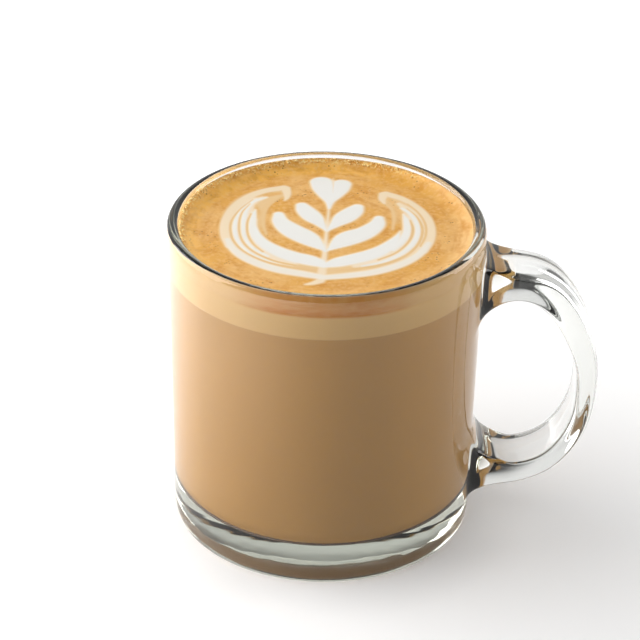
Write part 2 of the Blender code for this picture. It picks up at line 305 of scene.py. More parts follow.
def mug_profile(mug):
    """The wall's control points, from the middle of the foot over the lip to the middle of the floor."""
    lip_height = mug.height - mug.lip / 2
    heel_centre = (mug.foot_radius - mug.heel, mug.heel)
    lip_centre = (outer_radius(mug, lip_height) - mug.lip / 2, lip_height)
    corner_height = mug.floor + mug.corner
    corner_radius = inner_radius(mug, corner_height) - mug.corner
    profile = list(FOOT_LOOPS)
    profile += [(r, max(z, 0.0)) for r, z in arc(heel_centre, mug.heel, -pi / 2, 0, 2)]
    profile += [(outer_radius(mug, z), z) for z in (*LOWER_ROOT, BETWEEN_ROOTS, *reversed(UPPER_ROOT))]
    profile += arc(lip_centre, mug.lip / 2, 0, pi, 4)
    profile += [(inner_radius(mug, z), z) for z in INNER_WALL_LOOPS]
    profile += arc((corner_radius, corner_height), mug.corner, 0, -pi / 2, 2)
    profile += [(FLOOR_LOOP, mug.floor), (0.0, mug.floor)]
    return profile


def section_offsets():
    """The handle's 12 section points: share of the half-width, and 1 outside, 0 at a side or -1 inside."""
    shares = (-1.0, -0.72, 0.0, 0.72, 1.0)
    outside = [(share, 1) for share in shares]
    inside = [(share, -1) for share in reversed(shares)]
    return outside + [(1.0, 0)] + inside + [(-1.0, 0)]


def root_opening(mug, rows, ring_gain):
    """Where the wall's grid is opened for a root, with rows from the handle's outside to its inside."""
    step = 2 * pi / COLUMNS
    columns = list(range(-ROOT_COLUMNS, ROOT_COLUMNS + 1))
    places = [(column, rows[0]) for column in columns]
    places += [(ROOT_COLUMNS, rows[1])]
    places += [(column, rows[2]) for column in reversed(columns)]
    places += [(-ROOT_COLUMNS, rows[1])]
    points = []
    for column, z in places:
        radius = outer_radius(mug, z) * ring_gain
        points.append(Vector((radius * cos(column * step), radius * sin(column * step), z)))
    return points


def root_section(mug, z_outside, z_inside, half_width, lift):
    """A handle section that lies along the wall, this far off it, where the root flares into it."""
    middle = (z_outside + z_inside) / 2
    reach = (z_outside - z_inside) / 2
    points = []
    for share, side in section_offsets():
        y = share * half_width
        z = middle + side * reach
        radius = outer_radius(mug, z) + lift
        points.append(Vector((sqrt(radius**2 - y**2), y, z)))
    return points


def through(points):
    """Control points whose smoothed line runs through these points."""
    count = len(points)
    weights = np.eye(count)
    for i in range(1, count - 1):
        weights[i, i - 1 : i + 2] = (1 / 6, 4 / 6, 1 / 6)
    return np.linalg.solve(weights, np.array(points))


def handle_sections(mug):
    """The free part of the handle, from the upper root to the lower: x, z and thickness of each station."""
    stations = (
        (0.0500, 0.0744, 0.0082),
        (0.0556, 0.0736, 0.0083),
        (0.0608, 0.0708, 0.0082),
        (0.0654, 0.0652, 0.0076),
        (0.0690, 0.0579, 0.0070),
        (0.0713, 0.0500, 0.0062),
        (0.0716, 0.0418, 0.0057),
        (0.0706, 0.0338, 0.0055),
        (0.0674, 0.0260, 0.0057),
        (0.0617, 0.0195, 0.0060),
        (0.0546, 0.0162, 0.0066),
        (0.0500, 0.0157, 0.0074),
    )
    controls = through(stations)
    directions = np.gradient(controls[:, :2], axis=0)
    sections = []
    for (x, z, thickness), (along_x, along_z) in zip(controls, directions):
        normal = Vector((-along_z, 0.0, along_x)).normalized()
        points = []
        for share, side in section_offsets():
            crown = HANDLE_CROWN if side > 0 and abs(share) == 1.0 else 0.0
            offset = normal * (side * thickness / 2 - crown)
            points.append(Vector((x, share * mug.handle_width / 2, z)) + offset)
        sections.append(points)
    return sections


def open_root(mug, bm, rows):
    """Removes the outer wall's faces behind a root and gives the loop of edges round the hole."""
    low, high = sorted((rows[0], rows[2]))
    limit = ROOT_COLUMNS * 2 * pi / COLUMNS
    faces = []
    for face in bm.faces:
        centre = face.calc_center_median()
        middle = (outer_radius(mug, centre.z) + inner_radius(mug, centre.z)) / 2
        near = centre.x > 0 and abs(centre.y) < centre.x * sin(limit) / cos(limit)
        if centre.to_2d().length > middle and near and low < centre.z < high:
            faces.append(face)
    bmesh.ops.delete(bm, geom=faces, context="FACES")
    edges = [edge for edge in bm.edges if edge.is_boundary]
    return [edge for edge in edges if low - ROOT_MARGIN < edge.verts[0].co.z < high + ROOT_MARGIN]


def grow(bm, loop, here, there):
    """Extrudes a loop of edges and moves each new point from its place in one section to the next."""
    made = bmesh.ops.extrude_edge_only(bm, edges=loop)["geom"]
    for point in made:
        if isinstance(point, bmesh.types.BMVert):
            index = min(range(len(here)), key=lambda i: (here[i] - point.co).length_squared)
            point.co = there[index]
    return [edge for edge in made if isinstance(edge, bmesh.types.BMEdge) and edge.is_boundary]


def add_handle(mug, bm, ring_gain):
    """Draws the handle out of the wall at both roots and joins the two ends."""
    upper = [root_opening(mug, UPPER_ROOT, ring_gain)]
    upper += [root_section(mug, *flare) for flare in UPPER_FLARE]
    upper += handle_sections(mug)
    lower = [root_opening(mug, LOWER_ROOT, ring_gain)]
    lower += [root_section(mug, *flare) for flare in LOWER_FLARE]
    roots = ((upper, open_root(mug, bm, UPPER_ROOT)), (lower, open_root(mug, bm, LOWER_ROOT)))
    ends = []
    for sections, loop in roots:
        for here, there in zip(sections, sections[1:]):
            loop = grow(bm, loop, here, there)
        ends += loop
    bmesh.ops.bridge_loops(bm, edges=ends)


# Pressing leaves slow waves in the wall, and in its thick base streaks four times as long as high
WAVE_SIZE = 16 * MM
STREAK_SIZE = 14 * MM
STREAK_FLATNESS = (1.0, 1.0, 4.0)
STREAK_STRENGTH = 2.0
# The streaks fade out between these shares of the glass floor's height
STREAK_TOP = (0.6, 1.2)
WAVE_DEPTH = 0.05 * MM
# How strongly the tint colours the glass, for each metre of its thickness
TINT_DENSITY = 35.0


def pressed_glass(mug):
    """Soda-lime glass, pressed and fire-polished: clear, faintly green in its thickness, slightly wavy."""
    made, tree, shader = new_material("pressed_soda_lime_glass")
    shader.inputs["Base Color"].default_value = rgba(WHITE)
    shader.inputs["Roughness"].default_value = 0.0
    shader.inputs["IOR"].default_value = 1.51
    shader.inputs["Transmission Weight"].default_value = 1.0
    spot = add_node(tree, "ShaderNodeTexCoord", {}, "Object")
    base = fade(tree, spot, "Z", *(mug.floor * share for share in STREAK_TOP), STREAK_STRENGTH, 0.0)
    flat = add_node(tree, "ShaderNodeVectorMath", {0: spot, 1: STREAK_FLATNESS}, operation="MULTIPLY")
    streaks = add_node(tree, "ShaderNodeTexNoise", {"Vector": flat, "Scale": 1 / STREAK_SIZE, "Detail": 1.0})
    waves = add_node(tree, "ShaderNodeTexNoise", {"Vector": spot, "Scale": 1 / WAVE_SIZE, "Detail": 1.0})
    height = add_node(tree, "ShaderNodeMath", {0: streaks, 1: base, 2: waves}, operation="MULTIPLY_ADD")
    bump = add_node(tree, "ShaderNodeBump", {"Height": height, "Strength": 1.0, "Distance": WAVE_DEPTH})
    tree.links.new(bump, shader.inputs["Normal"])
    tint = add_node(tree, "ShaderNodeVolumeAbsorption", {"Color": mug.tint, "Density": TINT_DENSITY})
    tree.links.new(tint, tree.nodes["Material Output"].inputs["Volume"])
    return made


class LATTE_OT_glass_mug(bpy.types.Operator):
    """Build the clear glass mug with its handle"""

    bl_idname = "latte.glass_mug"
    bl_label = "Glass Mug"

    def execute(self, context):
        mug = context.scene.latte_mug
        # The smoothing draws a ring of control points in, so each ring starts wider by this much
        ring_gain = 3 / (2 + cos(2 * pi / COLUMNS))
        bm = turned([(r * ring_gain, z) for r, z in mug_profile(mug)], COLUMNS)
        add_handle(mug, bm, ring_gain)
        piece = finished("glass_mug", bm, pressed_glass(mug), ["mug"])
        # The light reaches the drink and the floor through the clear glass
        piece.visible_shadow = False
        smoothing = piece.modifiers.new("Smoothing", "SUBSURF")
        smoothing.levels = SMOOTHING_LEVELS
        smoothing.render_levels = SMOOTHING_LEVELS
        return {"FINISHED"}


# Coffee and foam

DRINK_COLUMNS = 128
CORNER_STEPS = 10
COFFEE_RINGS = 12
FOAM_RINGS = 8
# The crema starts this far above the foam's level, and a hair's gap parts one layer from the next
CREMA_LIFT = 0.30 * MM
LAYER_GAP = 0.02 * MM
# Light in the glass meets the liquid at this ratio of their indices, and glances off it at low angles
LIQUID_IN_GLASS = 1.34 / 1.51
MIRROR = (0.97, 0.97, 0.97)
MIRROR_ROUGHNESS = 0.03
# Faint clouds in the coffee, darker and paler than its own colour by these shares
CLOUD_SIZE = 30 * MM
CLOUD_TONES = (0.96, 1.04)
# Heights above the glass floor between which the coffee in the corner of the glass is painted darker, as
# painted shade
CORNER_SHADE_START = (0.2 * MM, 1.0 * MM)
CORNER_SHADE_END = 3.5 * MM
# The crema run down over the foam: heights from the foam's top, places from the front back,
# and how much of it is left above and behind
RUN_RISE = (-0.9 * MM, 0.1 * MM)
RUN_FALL = (0.6 * MM, 2.0 * MM)
RUN_ABOVE = 0.75
RUN_FRONT = (-38.5 * MM, -30.0 * MM)
RUN_BEHIND = 0.1
RUN_FLATNESS = (1.0, 1.0, 3.0)
# Its patches: how far across, detail, low and high of the noise, and how strong at most and least
RUN_PATCHES = (3.0 * MM, 4.0, 0.38, 0.60, 1.0, 0.75)
# The dried ring above the crema, by height from the crema's level
DRIED_RING = (0.2 * MM, 1.4 * MM)
DRIED_STRENGTH = 0.2


def drink_radius(context, z):
    """How far out the drink reaches at a height: just into the wall, and round the lip above it."""
    mug = context.scene.latte_mug
    lip_radius = mug.lip / 2
    above_lip_centre = z - (mug.height - lip_radius)
    if above_lip_centre <= 0:
        return inner_radius(mug, z) + context.scene.latte_drink.reach
    lip_centre = outer_radius(mug, mug.height - lip_radius) - lip_radius
    return lip_centre - sqrt(lip_radius**2 - above_lip_centre**2) + context.scene.latte_drink.reach


def mirror_under_glass(tree, shader, tone, roughness, contact=None, mirror=MIRROR):
    """The drink's colour, turned into a mirror at low angles where it lies against the glass."""
    gloss = add_node(tree, "ShaderNodeFresnel", {"IOR": LIQUID_IN_GLASS})
    if contact is not None:
        gloss = add_node(tree, "ShaderNodeMath", {0: gloss, 1: contact}, operation="MULTIPLY")
    rough = add_node(tree, "ShaderNodeMapRange", {0: gloss, 3: roughness, 4: MIRROR_ROUGHNESS}, **EASED)
    tree.links.new(coated(tree, tone, [(gloss, mirror)]), shader.inputs["Base Color"])
    tree.links.new(gloss, shader.inputs["Metallic"])
    tree.links.new(rough, shader.inputs["Roughness"])
    shader.inputs["Specular IOR Level"].default_value = 0.05


def milky_coffee(mug, drink):
    """Espresso stirred into steamed milk: an even brown, and a mirror under the glass at low angles,
    darkened by painted shade in the glass's corner.
    """
    made, tree, shader = new_material("milky_coffee")
    spot = add_node(tree, "ShaderNodeTexCoord", {}, "Object")
    clouds = add_node(tree, "ShaderNodeTexNoise", {"Vector": spot, "Scale": 1 / CLOUD_SIZE, "Detail": 2.0})
    dark, pale = ([c * share for c in drink.coffee] for share in CLOUD_TONES)
    above = fade(tree, spot, "Z", *(mug.floor + height for height in CORNER_SHADE_START))
    below = fade(tree, spot, "Z", mug.floor + CORNER_SHADE_END, mug.floor + mug.corner, 1.0, 0.0)
    # Painted shade: the mirror under the glass turns dark brown in the corner
    corner_shade = add_node(tree, "ShaderNodeMath", {0: above, 1: below}, operation="MULTIPLY")
    mirror = coated(tree, MIRROR, [(corner_shade, drink.corner_shade)])
    mirror_under_glass(tree, shader, coated(tree, dark, [(clouds, pale)]), roughness=0.5, mirror=mirror)
    return made


class LATTE_OT_coffee(bpy.types.Operator):
    """Fill the mug with milky coffee"""

    bl_idname = "latte.coffee"
    bl_label = "Coffee"

    def execute(self, context):
        mug = context.scene.latte_mug
        drink = context.scene.latte_drink
        floor = mug.floor - drink.reach
        corner_height = mug.floor + mug.corner
        radius = mug.corner + drink.reach
        corner_centre = inner_radius(mug, corner_height) - mug.corner
        profile = [(0.0, floor), (FLOOR_LOOP, floor)]
        for i in range(CORNER_STEPS + 1):
            angle = -pi / 2 + i * pi / 2 / CORNER_STEPS
            profile.append((corner_centre + radius * cos(angle), corner_height + radius * sin(angle)))
        heights = np.linspace(corner_height, drink.coffee_level, COFFEE_RINGS)[1:]
        profile += [(drink_radius(context, z), z) for z in heights]
        profile += [(0.0, drink.coffee_level)]
        bm = turned(profile, DRINK_COLUMNS)
        finished("coffee_fill", bm, milky_coffee(mug, drink), ["coffee"], CORNER)
        return {"FINISHED"}


def foam_tone(tree, drink):
    """The foam's colour behind the glass: pale, with crema run down in front and dried in a ring on top."""
    spot = add_node(tree, "ShaderNodeTexCoord", {}, "Object")
    rise = fade(tree, spot, "Z", *(drink.foam_level + height for height in RUN_RISE))
    fall = fade(tree, spot, "Z", *(drink.foam_level + height for height in RUN_FALL), 1.0, RUN_ABOVE)
    front = fade(tree, spot, "Y", *RUN_FRONT, 1.0, RUN_BEHIND)
    flat = add_node(tree, "ShaderNodeVectorMath", {0: spot, 1: RUN_FLATNESS}, operation="MULTIPLY")
    run = patches(tree, flat, *RUN_PATCHES)
    for share in (rise, fall, front):
        run = add_node(tree, "ShaderNodeMath", {0: run, 1: share}, operation="MULTIPLY")
    ring = (drink.crema_level + height for height in DRIED_RING)
    dried = fade(tree, spot, "Z", *ring, 0.0, DRIED_STRENGTH)
    stain = add_node(tree, "ShaderNodeMath", {0: run, 1: dried}, operation="MAXIMUM")
    return coated(tree, drink.foam, [(stain, drink.crema_stain)])


def wet_foam(drink):
    """Steamed milk foam: fine bubbles too small to see singly, paler below and stained by crema above."""
    made, tree, shader = new_material("steamed_milk_foam")
    mirror_under_glass(tree, shader, foam_tone(tree, drink), roughness=0.6)
    return made


class LATTE_OT_foam(bpy.types.Operator):
    """Lay the pale foam between the coffee and the crema"""

    bl_idname = "latte.foam"
    bl_label = "Milk Foam"

    def execute(self, context):
        drink = context.scene.latte_drink
        bottom = drink.coffee_level + LAYER_GAP
        top = drink.foam_level + CREMA_LIFT - LAYER_GAP
        heights = np.linspace(bottom, top, FOAM_RINGS)
        profile = [(0.0, bottom)] + [(drink_radius(context, z), z) for z in heights] + [(0.0, top)]
        bm = turned(profile, DRINK_COLUMNS)
        finished("foam_band", bm, wet_foam(drink), ["milk_foam"], CORNER)
        return {"FINISHED"}


# Crema and rosetta

SURFACE_COLUMNS = 480
SURFACE_RINGS = 118
MENISCUS_RINGS = 14
MENISCUS_POWER = 2.0
EDGE_RINGS = 5
UNDERSIDE_LOOP = 0.7
STEPS_PER_SPAN = 6
# A poured edge is softer outside than inside by this share, and no place is farther outside than this
INNER_SOFTNESS = 0.7
FAR_OUTSIDE = -50.0


def pours():
    """The rosetta's layers, first to last: share of milk, softness in millimetres, and the strokes.

    A stroke is a list of x, y and half-width in millimetres.
    """
    wing_blend = [
        [(-14.0, 21.8, 2.6), (-19.0, 18.4, 4.4), (-22.2, 12.0, 4.8), (-23.0, 4.0, 5.2), (-22.4, -4.0, 5.2),
         (-19.0, -11.6, 5.0), (-12.6, -17.6, 5.0), (-5.6, -20.6, 4.6), (0.0, -22.0, 4.2)],
        [(18.4, 19.6, 2.6), (22.2, 14.6, 3.2), (24.2, 8.4, 4.0), (24.6, 1.0, 4.3), (23.0, -5.6, 4.6),
         (19.4, -12.2, 4.8), (13.0, -17.4, 5.0), (6.0, -20.4, 4.6), (0.0, -22.0, 4.2)],
    ]
    pockets = [
        [(-12.6, 22.4, 0.6), (-15.4, 21.6, 1.1), (-18.6, 19.6, 0.6)],
        [(-19.6, 15.4, 0.3), (-18.8, 11.6, 0.8), (-18.8, 7.8, 0.5)],
        [(17.0, 19.8, 0.5), (18.6, 17.2, 0.9), (19.4, 12.6, 0.8), (19.2, 6.0, 0.5)],
    ]
    limbs = [
        [(-14.2, 18.6, 0.5), (-16.2, 14.2, 0.6), (-17.0, 9.0, 0.6), (-16.9, 3.6, 0.5), (-16.0, -1.6, 0.3)],
        [(16.2, 17.0, 0.5), (17.8, 13.6, 0.5), (18.2, 8.4, 0.5), (17.8, 2.4, 0.3)],
    ]
    wing_fields = [
        [(-17.6, 19.6, 0.6), (-21.0, 16.4, 1.8), (-22.4, 11.0, 2.6), (-22.8, 4.0, 3.2), (-22.2, -3.0, 3.2),
         (-19.6, -9.6, 2.8), (-15.0, -14.6, 2.2), (-9.0, -17.8, 1.4)],
        [(19.6, 17.2, 0.6), (22.6, 12.6, 1.4), (24.0, 6.6, 2.2), (24.0, 0.0, 2.6), (22.4, -6.2, 2.6),
         (18.8, -11.6, 2.2), (13.4, -16.0, 1.6), (8.0, -18.4, 1.0)],
    ]
    outer_bands = [
        [(-11.8, 25.8, 1.3), (-17.6, 23.4, 1.2), (-22.4, 18.6, 1.1), (-25.6, 12.4, 1.1), (-27.2, 4.6, 1.2),
         (-26.9, -2.6, 1.3), (-25.4, -8.6, 1.3)],
        [(-11.4, 25.4, 1.4), (-10.8, 22.4, 1.1), (-10.9, 19.8, 0.7), (-11.4, 18.2, 0.3)],
        [(16.2, 23.2, 1.3), (20.6, 20.4, 1.1), (24.6, 15.4, 1.0), (27.2, 9.2, 1.1), (28.2, 2.6, 1.1),
         (27.6, -4.0, 1.2), (25.6, -9.6, 1.3)],
        [(15.6, 22.8, 1.4), (15.1, 20.0, 1.0), (15.6, 17.6, 0.5)],
    ]
    stem = [
        [(0.8, 17.6, 0.3), (0.4, 8.0, 0.4), (0.0, -2.0, 0.5), (-0.3, -12.0, 0.7), (-0.8, -20.0, 0.9),
         (-1.2, -26.6, 1.1)],
        [(-5.2, -29.0, 0.3), (-3.4, -28.4, 0.8), (-1.4, -27.0, 1.2)],
    ]
    foot_bands = [
        [(-26.2, -5.0, 0.7), (-24.6, -10.0, 1.2), (-21.6, -14.6, 1.5), (-17.0, -18.6, 1.6),
         (-12.0, -21.4, 1.6), (-6.4, -23.2, 1.5), (-0.8, -25.0, 1.2)],
        [(27.2, -5.2, 0.7), (25.2, -10.4, 1.2), (21.8, -15.2, 1.4), (17.4, -19.0, 1.5),
         (12.0, -22.0, 1.5), (6.0, -23.8, 1.4), (0.2, -25.0, 1.2)],
    ]
    wing_bands = [
        [(-16.4, 19.8, 0.3), (-20.2, 16.8, 0.6), (-23.2, 10.6, 0.6), (-24.5, 4.0, 0.6), (-24.1, -3.0, 0.6),
         (-22.0, -9.4, 0.5), (-18.4, -14.2, 0.4), (-12.0, -18.4, 0.3)],
        [(-19.0, 18.6, 0.3), (-21.4, 13.8, 0.6), (-22.2, 8.0, 0.7), (-22.1, 2.0, 0.7), (-21.6, -4.0, 0.6),
         (-19.4, -9.6, 0.5), (-15.4, -14.0, 0.4)],
        [(-19.2, 12.4, 0.2), (-19.7, 8.4, 0.9), (-19.9, 3.4, 1.2), (-19.2, -1.8, 1.2), (-17.6, -6.4, 0.9)],
        [(20.4, 14.6, 0.4), (22.8, 11.6, 0.7), (24.2, 7.4, 0.8), (24.6, 2.4, 0.8), (24.0, -2.6, 0.8),
         (22.2, -7.6, 0.7), (19.2, -12.2, 0.6), (14.8, -16.2, 0.5), (9.6, -18.6, 0.3)],
        [(20.8, 11.2, 0.2), (21.5, 7.2, 0.9), (21.7, 2.8, 1.1), (21.1, -1.4, 1.1), (19.8, -5.4, 0.9),
         (17.8, -9.2, 0.6)],
    ]
    lines = [
        [(-20.2, 18.2, 0.1), (-23.6, 12.0, 0.2), (-25.6, 4.6, 0.3), (-25.2, -3.0, 0.3), (-23.4, -8.6, 0.3),
         (-20.4, -13.0, 0.3), (-15.8, -17.0, 0.4), (-10.4, -19.4, 0.5), (-3.0, -21.4, 0.4)],
        [(-20.8, 15.8, 0.1), (-22.8, 10.6, 0.2), (-23.4, 4.6, 0.25), (-23.0, -2.0, 0.25), (-21.4, -7.8, 0.3),
         (-18.2, -12.6, 0.3), (-13.4, -16.6, 0.4), (-8.0, -18.8, 0.4)],
        [(-20.4, 10.0, 0.2), (-21.2, 4.6, 0.3), (-20.9, -1.6, 0.3), (-19.4, -7.0, 0.3),
         (-16.6, -11.6, 0.25)],
        [(22.0, 17.4, 0.1), (25.0, 11.8, 0.2), (26.6, 5.4, 0.25), (26.5, -1.0, 0.25), (25.0, -7.0, 0.2)],
        [(21.8, 14.6, 0.1), (24.4, 9.8, 0.25), (25.7, 3.6, 0.35), (25.3, -2.4, 0.35), (23.6, -8.0, 0.35),
         (20.6, -12.8, 0.35), (16.0, -16.8, 0.4), (10.6, -19.4, 0.5), (3.0, -21.4, 0.4)],
        [(22.6, 7.8, 0.15), (23.2, 3.0, 0.35), (22.7, -2.0, 0.35), (21.0, -6.8, 0.3), (18.2, -11.2, 0.3),
         (13.8, -15.0, 0.3)],
        [(1.8, 32.0, 0.3), (1.7, 27.0, 0.25), (1.6, 22.6, 0.1)],
    ]
    leaves = [
        [(-1.5, 29.4, 3.2), (-1.1, 26.0, 3.0), (-0.2, 22.0, 2.3), (0.5, 18.0, 1.1), (0.7, 14.0, 0.3)],
        [(4.1, 28.5, 2.7), (3.7, 25.5, 2.5), (2.5, 21.8, 1.9), (1.3, 18.3, 1.1), (0.8, 14.0, 0.3)],
        [(-6.7, 15.3, 1.7), (-5.6, 12.3, 2.6), (-3.8, 8.8, 2.8), (-2.0, 5.4, 1.7), (-0.1, 1.0, 0.3)],
        [(8.4, 14.9, 1.7), (7.1, 12.0, 2.8), (5.0, 8.7, 3.0), (2.8, 5.2, 1.8), (0.3, 0.8, 0.3)],
        [(-12.9, 9.8, 1.5), (-12.2, 5.6, 2.4), (-9.2, 0.8, 3.4), (-4.8, -3.9, 3.3), (-0.2, -10.6, 0.3)],
        [(14.2, 8.6, 1.4), (13.4, 4.6, 2.4), (10.2, 0.0, 3.2), (5.6, -3.7, 3.5), (0.3, -10.4, 0.3)],
        [(-19.0, 2.0, 0.1), (-18.0, -2.6, 1.0), (-16.2, -7.0, 1.8), (-12.6, -11.0, 2.3), (-8.4, -14.0, 2.6),
         (-4.0, -16.0, 2.6), (-0.4, -18.4, 1.2)],
        [(19.8, 1.4, 0.1), (18.8, -2.2, 0.9), (17.2, -5.8, 1.7), (14.6, -9.6, 2.3), (11.0, -12.6, 2.6),
         (7.0, -14.8, 2.6), (3.4, -16.6, 2.4), (0.4, -18.4, 1.2)],
    ]
    notch = [[(1.8, 30.4, 0.25), (1.8, 27.0, 0.15), (1.7, 23.0, 0.05)]]
    return (
        (0.45, 1.1, wing_blend),
        (0.18, 0.8, pockets),
        (0.42, 0.7, limbs),
        (0.76, 1.0, wing_fields),
        (0.72, 0.7, outer_bands),
        (0.74, 0.8, stem),
        (0.88, 0.8, foot_bands),
        (0.95, 0.7, wing_bands),
        (0.38, 0.36, lines),
        (1.0, 0.95, leaves),
        (0.80, 0.3, notch),
    )


def milk_share(x, y):
    """How much milk shows at each place, as each pour covers the ones before it."""
    share = np.zeros(len(x))
    for milk, softness, strokes in pours():
        cover = smooth_step(depth_inside(strokes, x, y), -softness, softness * INNER_SOFTNESS)
        share += (milk - share) * cover
    return share


def smooth_line(points):
    """Points along a smooth curve through these points, half-widths included."""
    points = np.array(points)
    ends = (2 * points[0] - points[1], 2 * points[-1] - points[-2])
    padded = np.vstack((ends[0], points, ends[1]))
    line = []
    for i in range(1, len(padded) - 2):
        before, start, end, after = padded[i - 1 : i + 3]
        for t in np.arange(STEPS_PER_SPAN) / STEPS_PER_SPAN:
            ahead = (end - before) / 2
            behind = (after - start) / 2
            shape = (2 * t**3 - 3 * t**2 + 1, t**3 - 2 * t**2 + t, 3 * t**2 - 2 * t**3, t**3 - t**2)
            line.append(shape[0] * start + shape[1] * ahead + shape[2] * end + shape[3] * behind)
    return np.array(line + [points[-1]])


def depth_inside(strokes, x, y):
    """How far each place lies inside the nearest stroke's edge, in millimetres, negative outside."""
    depth = np.full(len(x), FAR_OUTSIDE)
    for stroke in strokes:
        line = smooth_line(stroke)
        for (ax, ay, a_width), (bx, by, b_width) in zip(line, line[1:]):
            along_x = bx - ax
            along_y = by - ay
            share = ((x - ax) * along_x + (y - ay) * along_y) / (along_x**2 + along_y**2)
            share = np.clip(share, 0.0, 1.0)
            gap = np.hypot(x - ax - share * along_x, y - ay - share * along_y)
            np.maximum(depth, a_width + share * (b_width - a_width) - gap, out=depth)
    return depth


def smooth_step(value, start, end):
    """A share that eases from 0 where the value is at start to 1 where it is at end."""
    t = np.clip((value - start) / (end - start), 0.0, 1.0)
    return t * t * (3 - 2 * t)


def crema_profile(context):
    """From the middle of the underside round the edge, up the meniscus and in to the middle of the top."""
    drink = context.scene.latte_drink
    bottom = drink.foam_level + CREMA_LIFT
    top = drink.crema_level + drink.meniscus_rise
    edge = drink_radius(context, top)
    shoulder = edge - drink.meniscus_width
    profile = [(0.0, bottom), (edge * UNDERSIDE_LOOP, bottom)]
    profile += [(drink_radius(context, z), z) for z in np.linspace(bottom, top, EDGE_RINGS)]
    for share in np.linspace(0, 1, MENISCUS_RINGS)[1:]:
        height = drink.crema_level + drink.meniscus_rise * (1 - share) ** MENISCUS_POWER
        profile.append((edge - drink.meniscus_width * share, height))
    profile += [(r, drink.crema_level) for r in np.linspace(shoulder, 0.0, SURFACE_RINGS)[1:]]
    return profile


# Patches in the crema: how far across, detail, low and high of the noise, and how much shows at most
PALE_CLOUDS = (12 * MM, 3.0, 0.36, 0.66, 0.40)
MOTTLE = (3.4 * MM, 3.0, 0.44, 0.68, 0.50)
SWIRLS = (2.2 * MM, 4.0, 0.48, 0.70, 0.62)
GRAIN = (1.1 * MM, 2.0, 0.42, 0.72, 0.32)
# Its bubbles are about 0.1 mm across, too fine to show, so specks, pores and pits are drawn coarser; the
# froth's specks are near-white, as painted glints of its bubbles
FROTH_GLINT_SPECKS = (0.7 * MM, 1.0, 0.50, 0.62)
PORE_SPACING = 1.2 * MM
PORE_EDGE = (0.10, 0.28)
PORE_CLUSTERS = (8 * MM, 2.0, 0.53, 0.65, 0.9)
PIT_SPACING = 2.2 * MM
PIT_DEPTH = 0.04 * MM
# How far a swirl's noise moves on in one radian round the axis
SWIRL_TURN = 8 * MM
# Shares of milk between which each of its tones takes over
BLEND_SHARES = (0.0, 0.45)
CREAM_SHARES = (0.40, 0.75)
MILK_SHARES = (0.70, 1.0)
WET_FOAM_IOR = 1.36


def ring_spot(tree, spot):
    """Coordinates squeezed along the rings round the axis, so that a noise on them swirls."""
    flat = add_node(tree, "ShaderNodeVectorMath", {0: spot, 1: (1.0, 1.0, 0.0)}, operation="MULTIPLY")
    away = add_node(tree, "ShaderNodeVectorMath", {0: flat}, operation="LENGTH")
    way = add_node(tree, "ShaderNodeVectorMath", {0: flat}, operation="NORMALIZE")
    turn = add_node(tree, "ShaderNodeVectorMath", {0: way, "Scale": SWIRL_TURN}, operation="SCALE")
    out = add_node(tree, "ShaderNodeCombineXYZ", {"Z": away})
    return add_node(tree, "ShaderNodeVectorMath", {0: turn, 1: out}, operation="ADD")


def crema_finish(context):
    """Espresso foam: a wet golden froth, streaked and pitted, with milk poured through it in soft edges, and
    painted light and glints near the glass.
    """
    drink = context.scene.latte_drink
    made, tree, shader = new_material("wet_crema_with_milk")
    spot = add_node(tree, "ShaderNodeTexCoord", {}, "Object")
    shares = {}
    for name in ("slope_light", "pale", "gold", "froth", "milk", "side"):
        shares[name] = add_node(tree, "ShaderNodeAttribute", {}, "Fac", attribute_name=name)
    # Painted highlights: the froth along the glass shows as bright specks, its bubbles' glints
    froth_glint_specks = patches(tree, spot, *FROTH_GLINT_SPECKS)
    froth = add_node(tree, "ShaderNodeMath", {0: shares["froth"], 1: froth_glint_specks}, operation="MULTIPLY")
    cells = add_node(tree, "ShaderNodeTexVoronoi", {"Vector": spot, "Scale": 1 / PORE_SPACING})
    middle, rim = PORE_EDGE
    holes = add_node(tree, "ShaderNodeMapRange", {0: cells, 1: middle, 2: rim, 3: 1.0, 4: 0.0}, **EASED)
    clusters = patches(tree, spot, *PORE_CLUSTERS)
    pores = add_node(tree, "ShaderNodeMath", {0: holes, 1: clusters}, operation="MULTIPLY")
    coats = [
        (patches(tree, spot, *PALE_CLOUDS), drink.crema_pale),
        # Painted light: a brighter gold on the climb's slope at the back left
        (shares["slope_light"], drink.crema_gold),
        # Painted light: a paler edge near the glass on the front right, where the right light falls
        (shares["pale"], drink.crema_pale),
        (shares["gold"], drink.crema_gold),
        (patches(tree, spot, *MOTTLE), drink.crema_deep),
        (patches(tree, ring_spot(tree, spot), *SWIRLS), drink.crema_deep),
        (patches(tree, spot, *GRAIN), drink.crema_pale),
        # Froth with its glints painted in
        (froth, drink.froth),
        (pores, drink.crema_pore),
    ]
    tones = ((BLEND_SHARES, drink.blend), (CREAM_SHARES, drink.cream), (MILK_SHARES, drink.milk))
    for (low, high), tone in tones:
        poured = add_node(tree, "ShaderNodeMapRange", {0: shares["milk"], 1: low, 2: high}, **EASED)
        coats.append((poured, tone))
    coats.append((shares["side"], foam_tone(tree, drink)))
    tone = coated(tree, drink.crema, coats)
    mirror_under_glass(tree, shader, tone, roughness=0.42, contact=shares["side"])
    shader.inputs["IOR"].default_value = WET_FOAM_IOR
    shader.inputs["Specular IOR Level"].default_value = 0.5
    pits = add_node(tree, "ShaderNodeTexVoronoi", {"Vector": spot, "Scale": 1 / PIT_SPACING})
    bump = add_node(tree, "ShaderNodeBump", {"Height": pits, "Strength": 1.0, "Distance": PIT_DEPTH})
    tree.links.new(bump, shader.inputs["Normal"])
    return made


# How much of its climb up the glass the crema loses in front, and where along Y that fades, in millimetres
FRONT_LOSS = 0.4
FRONT_FADE = (-10.0, 28.0)


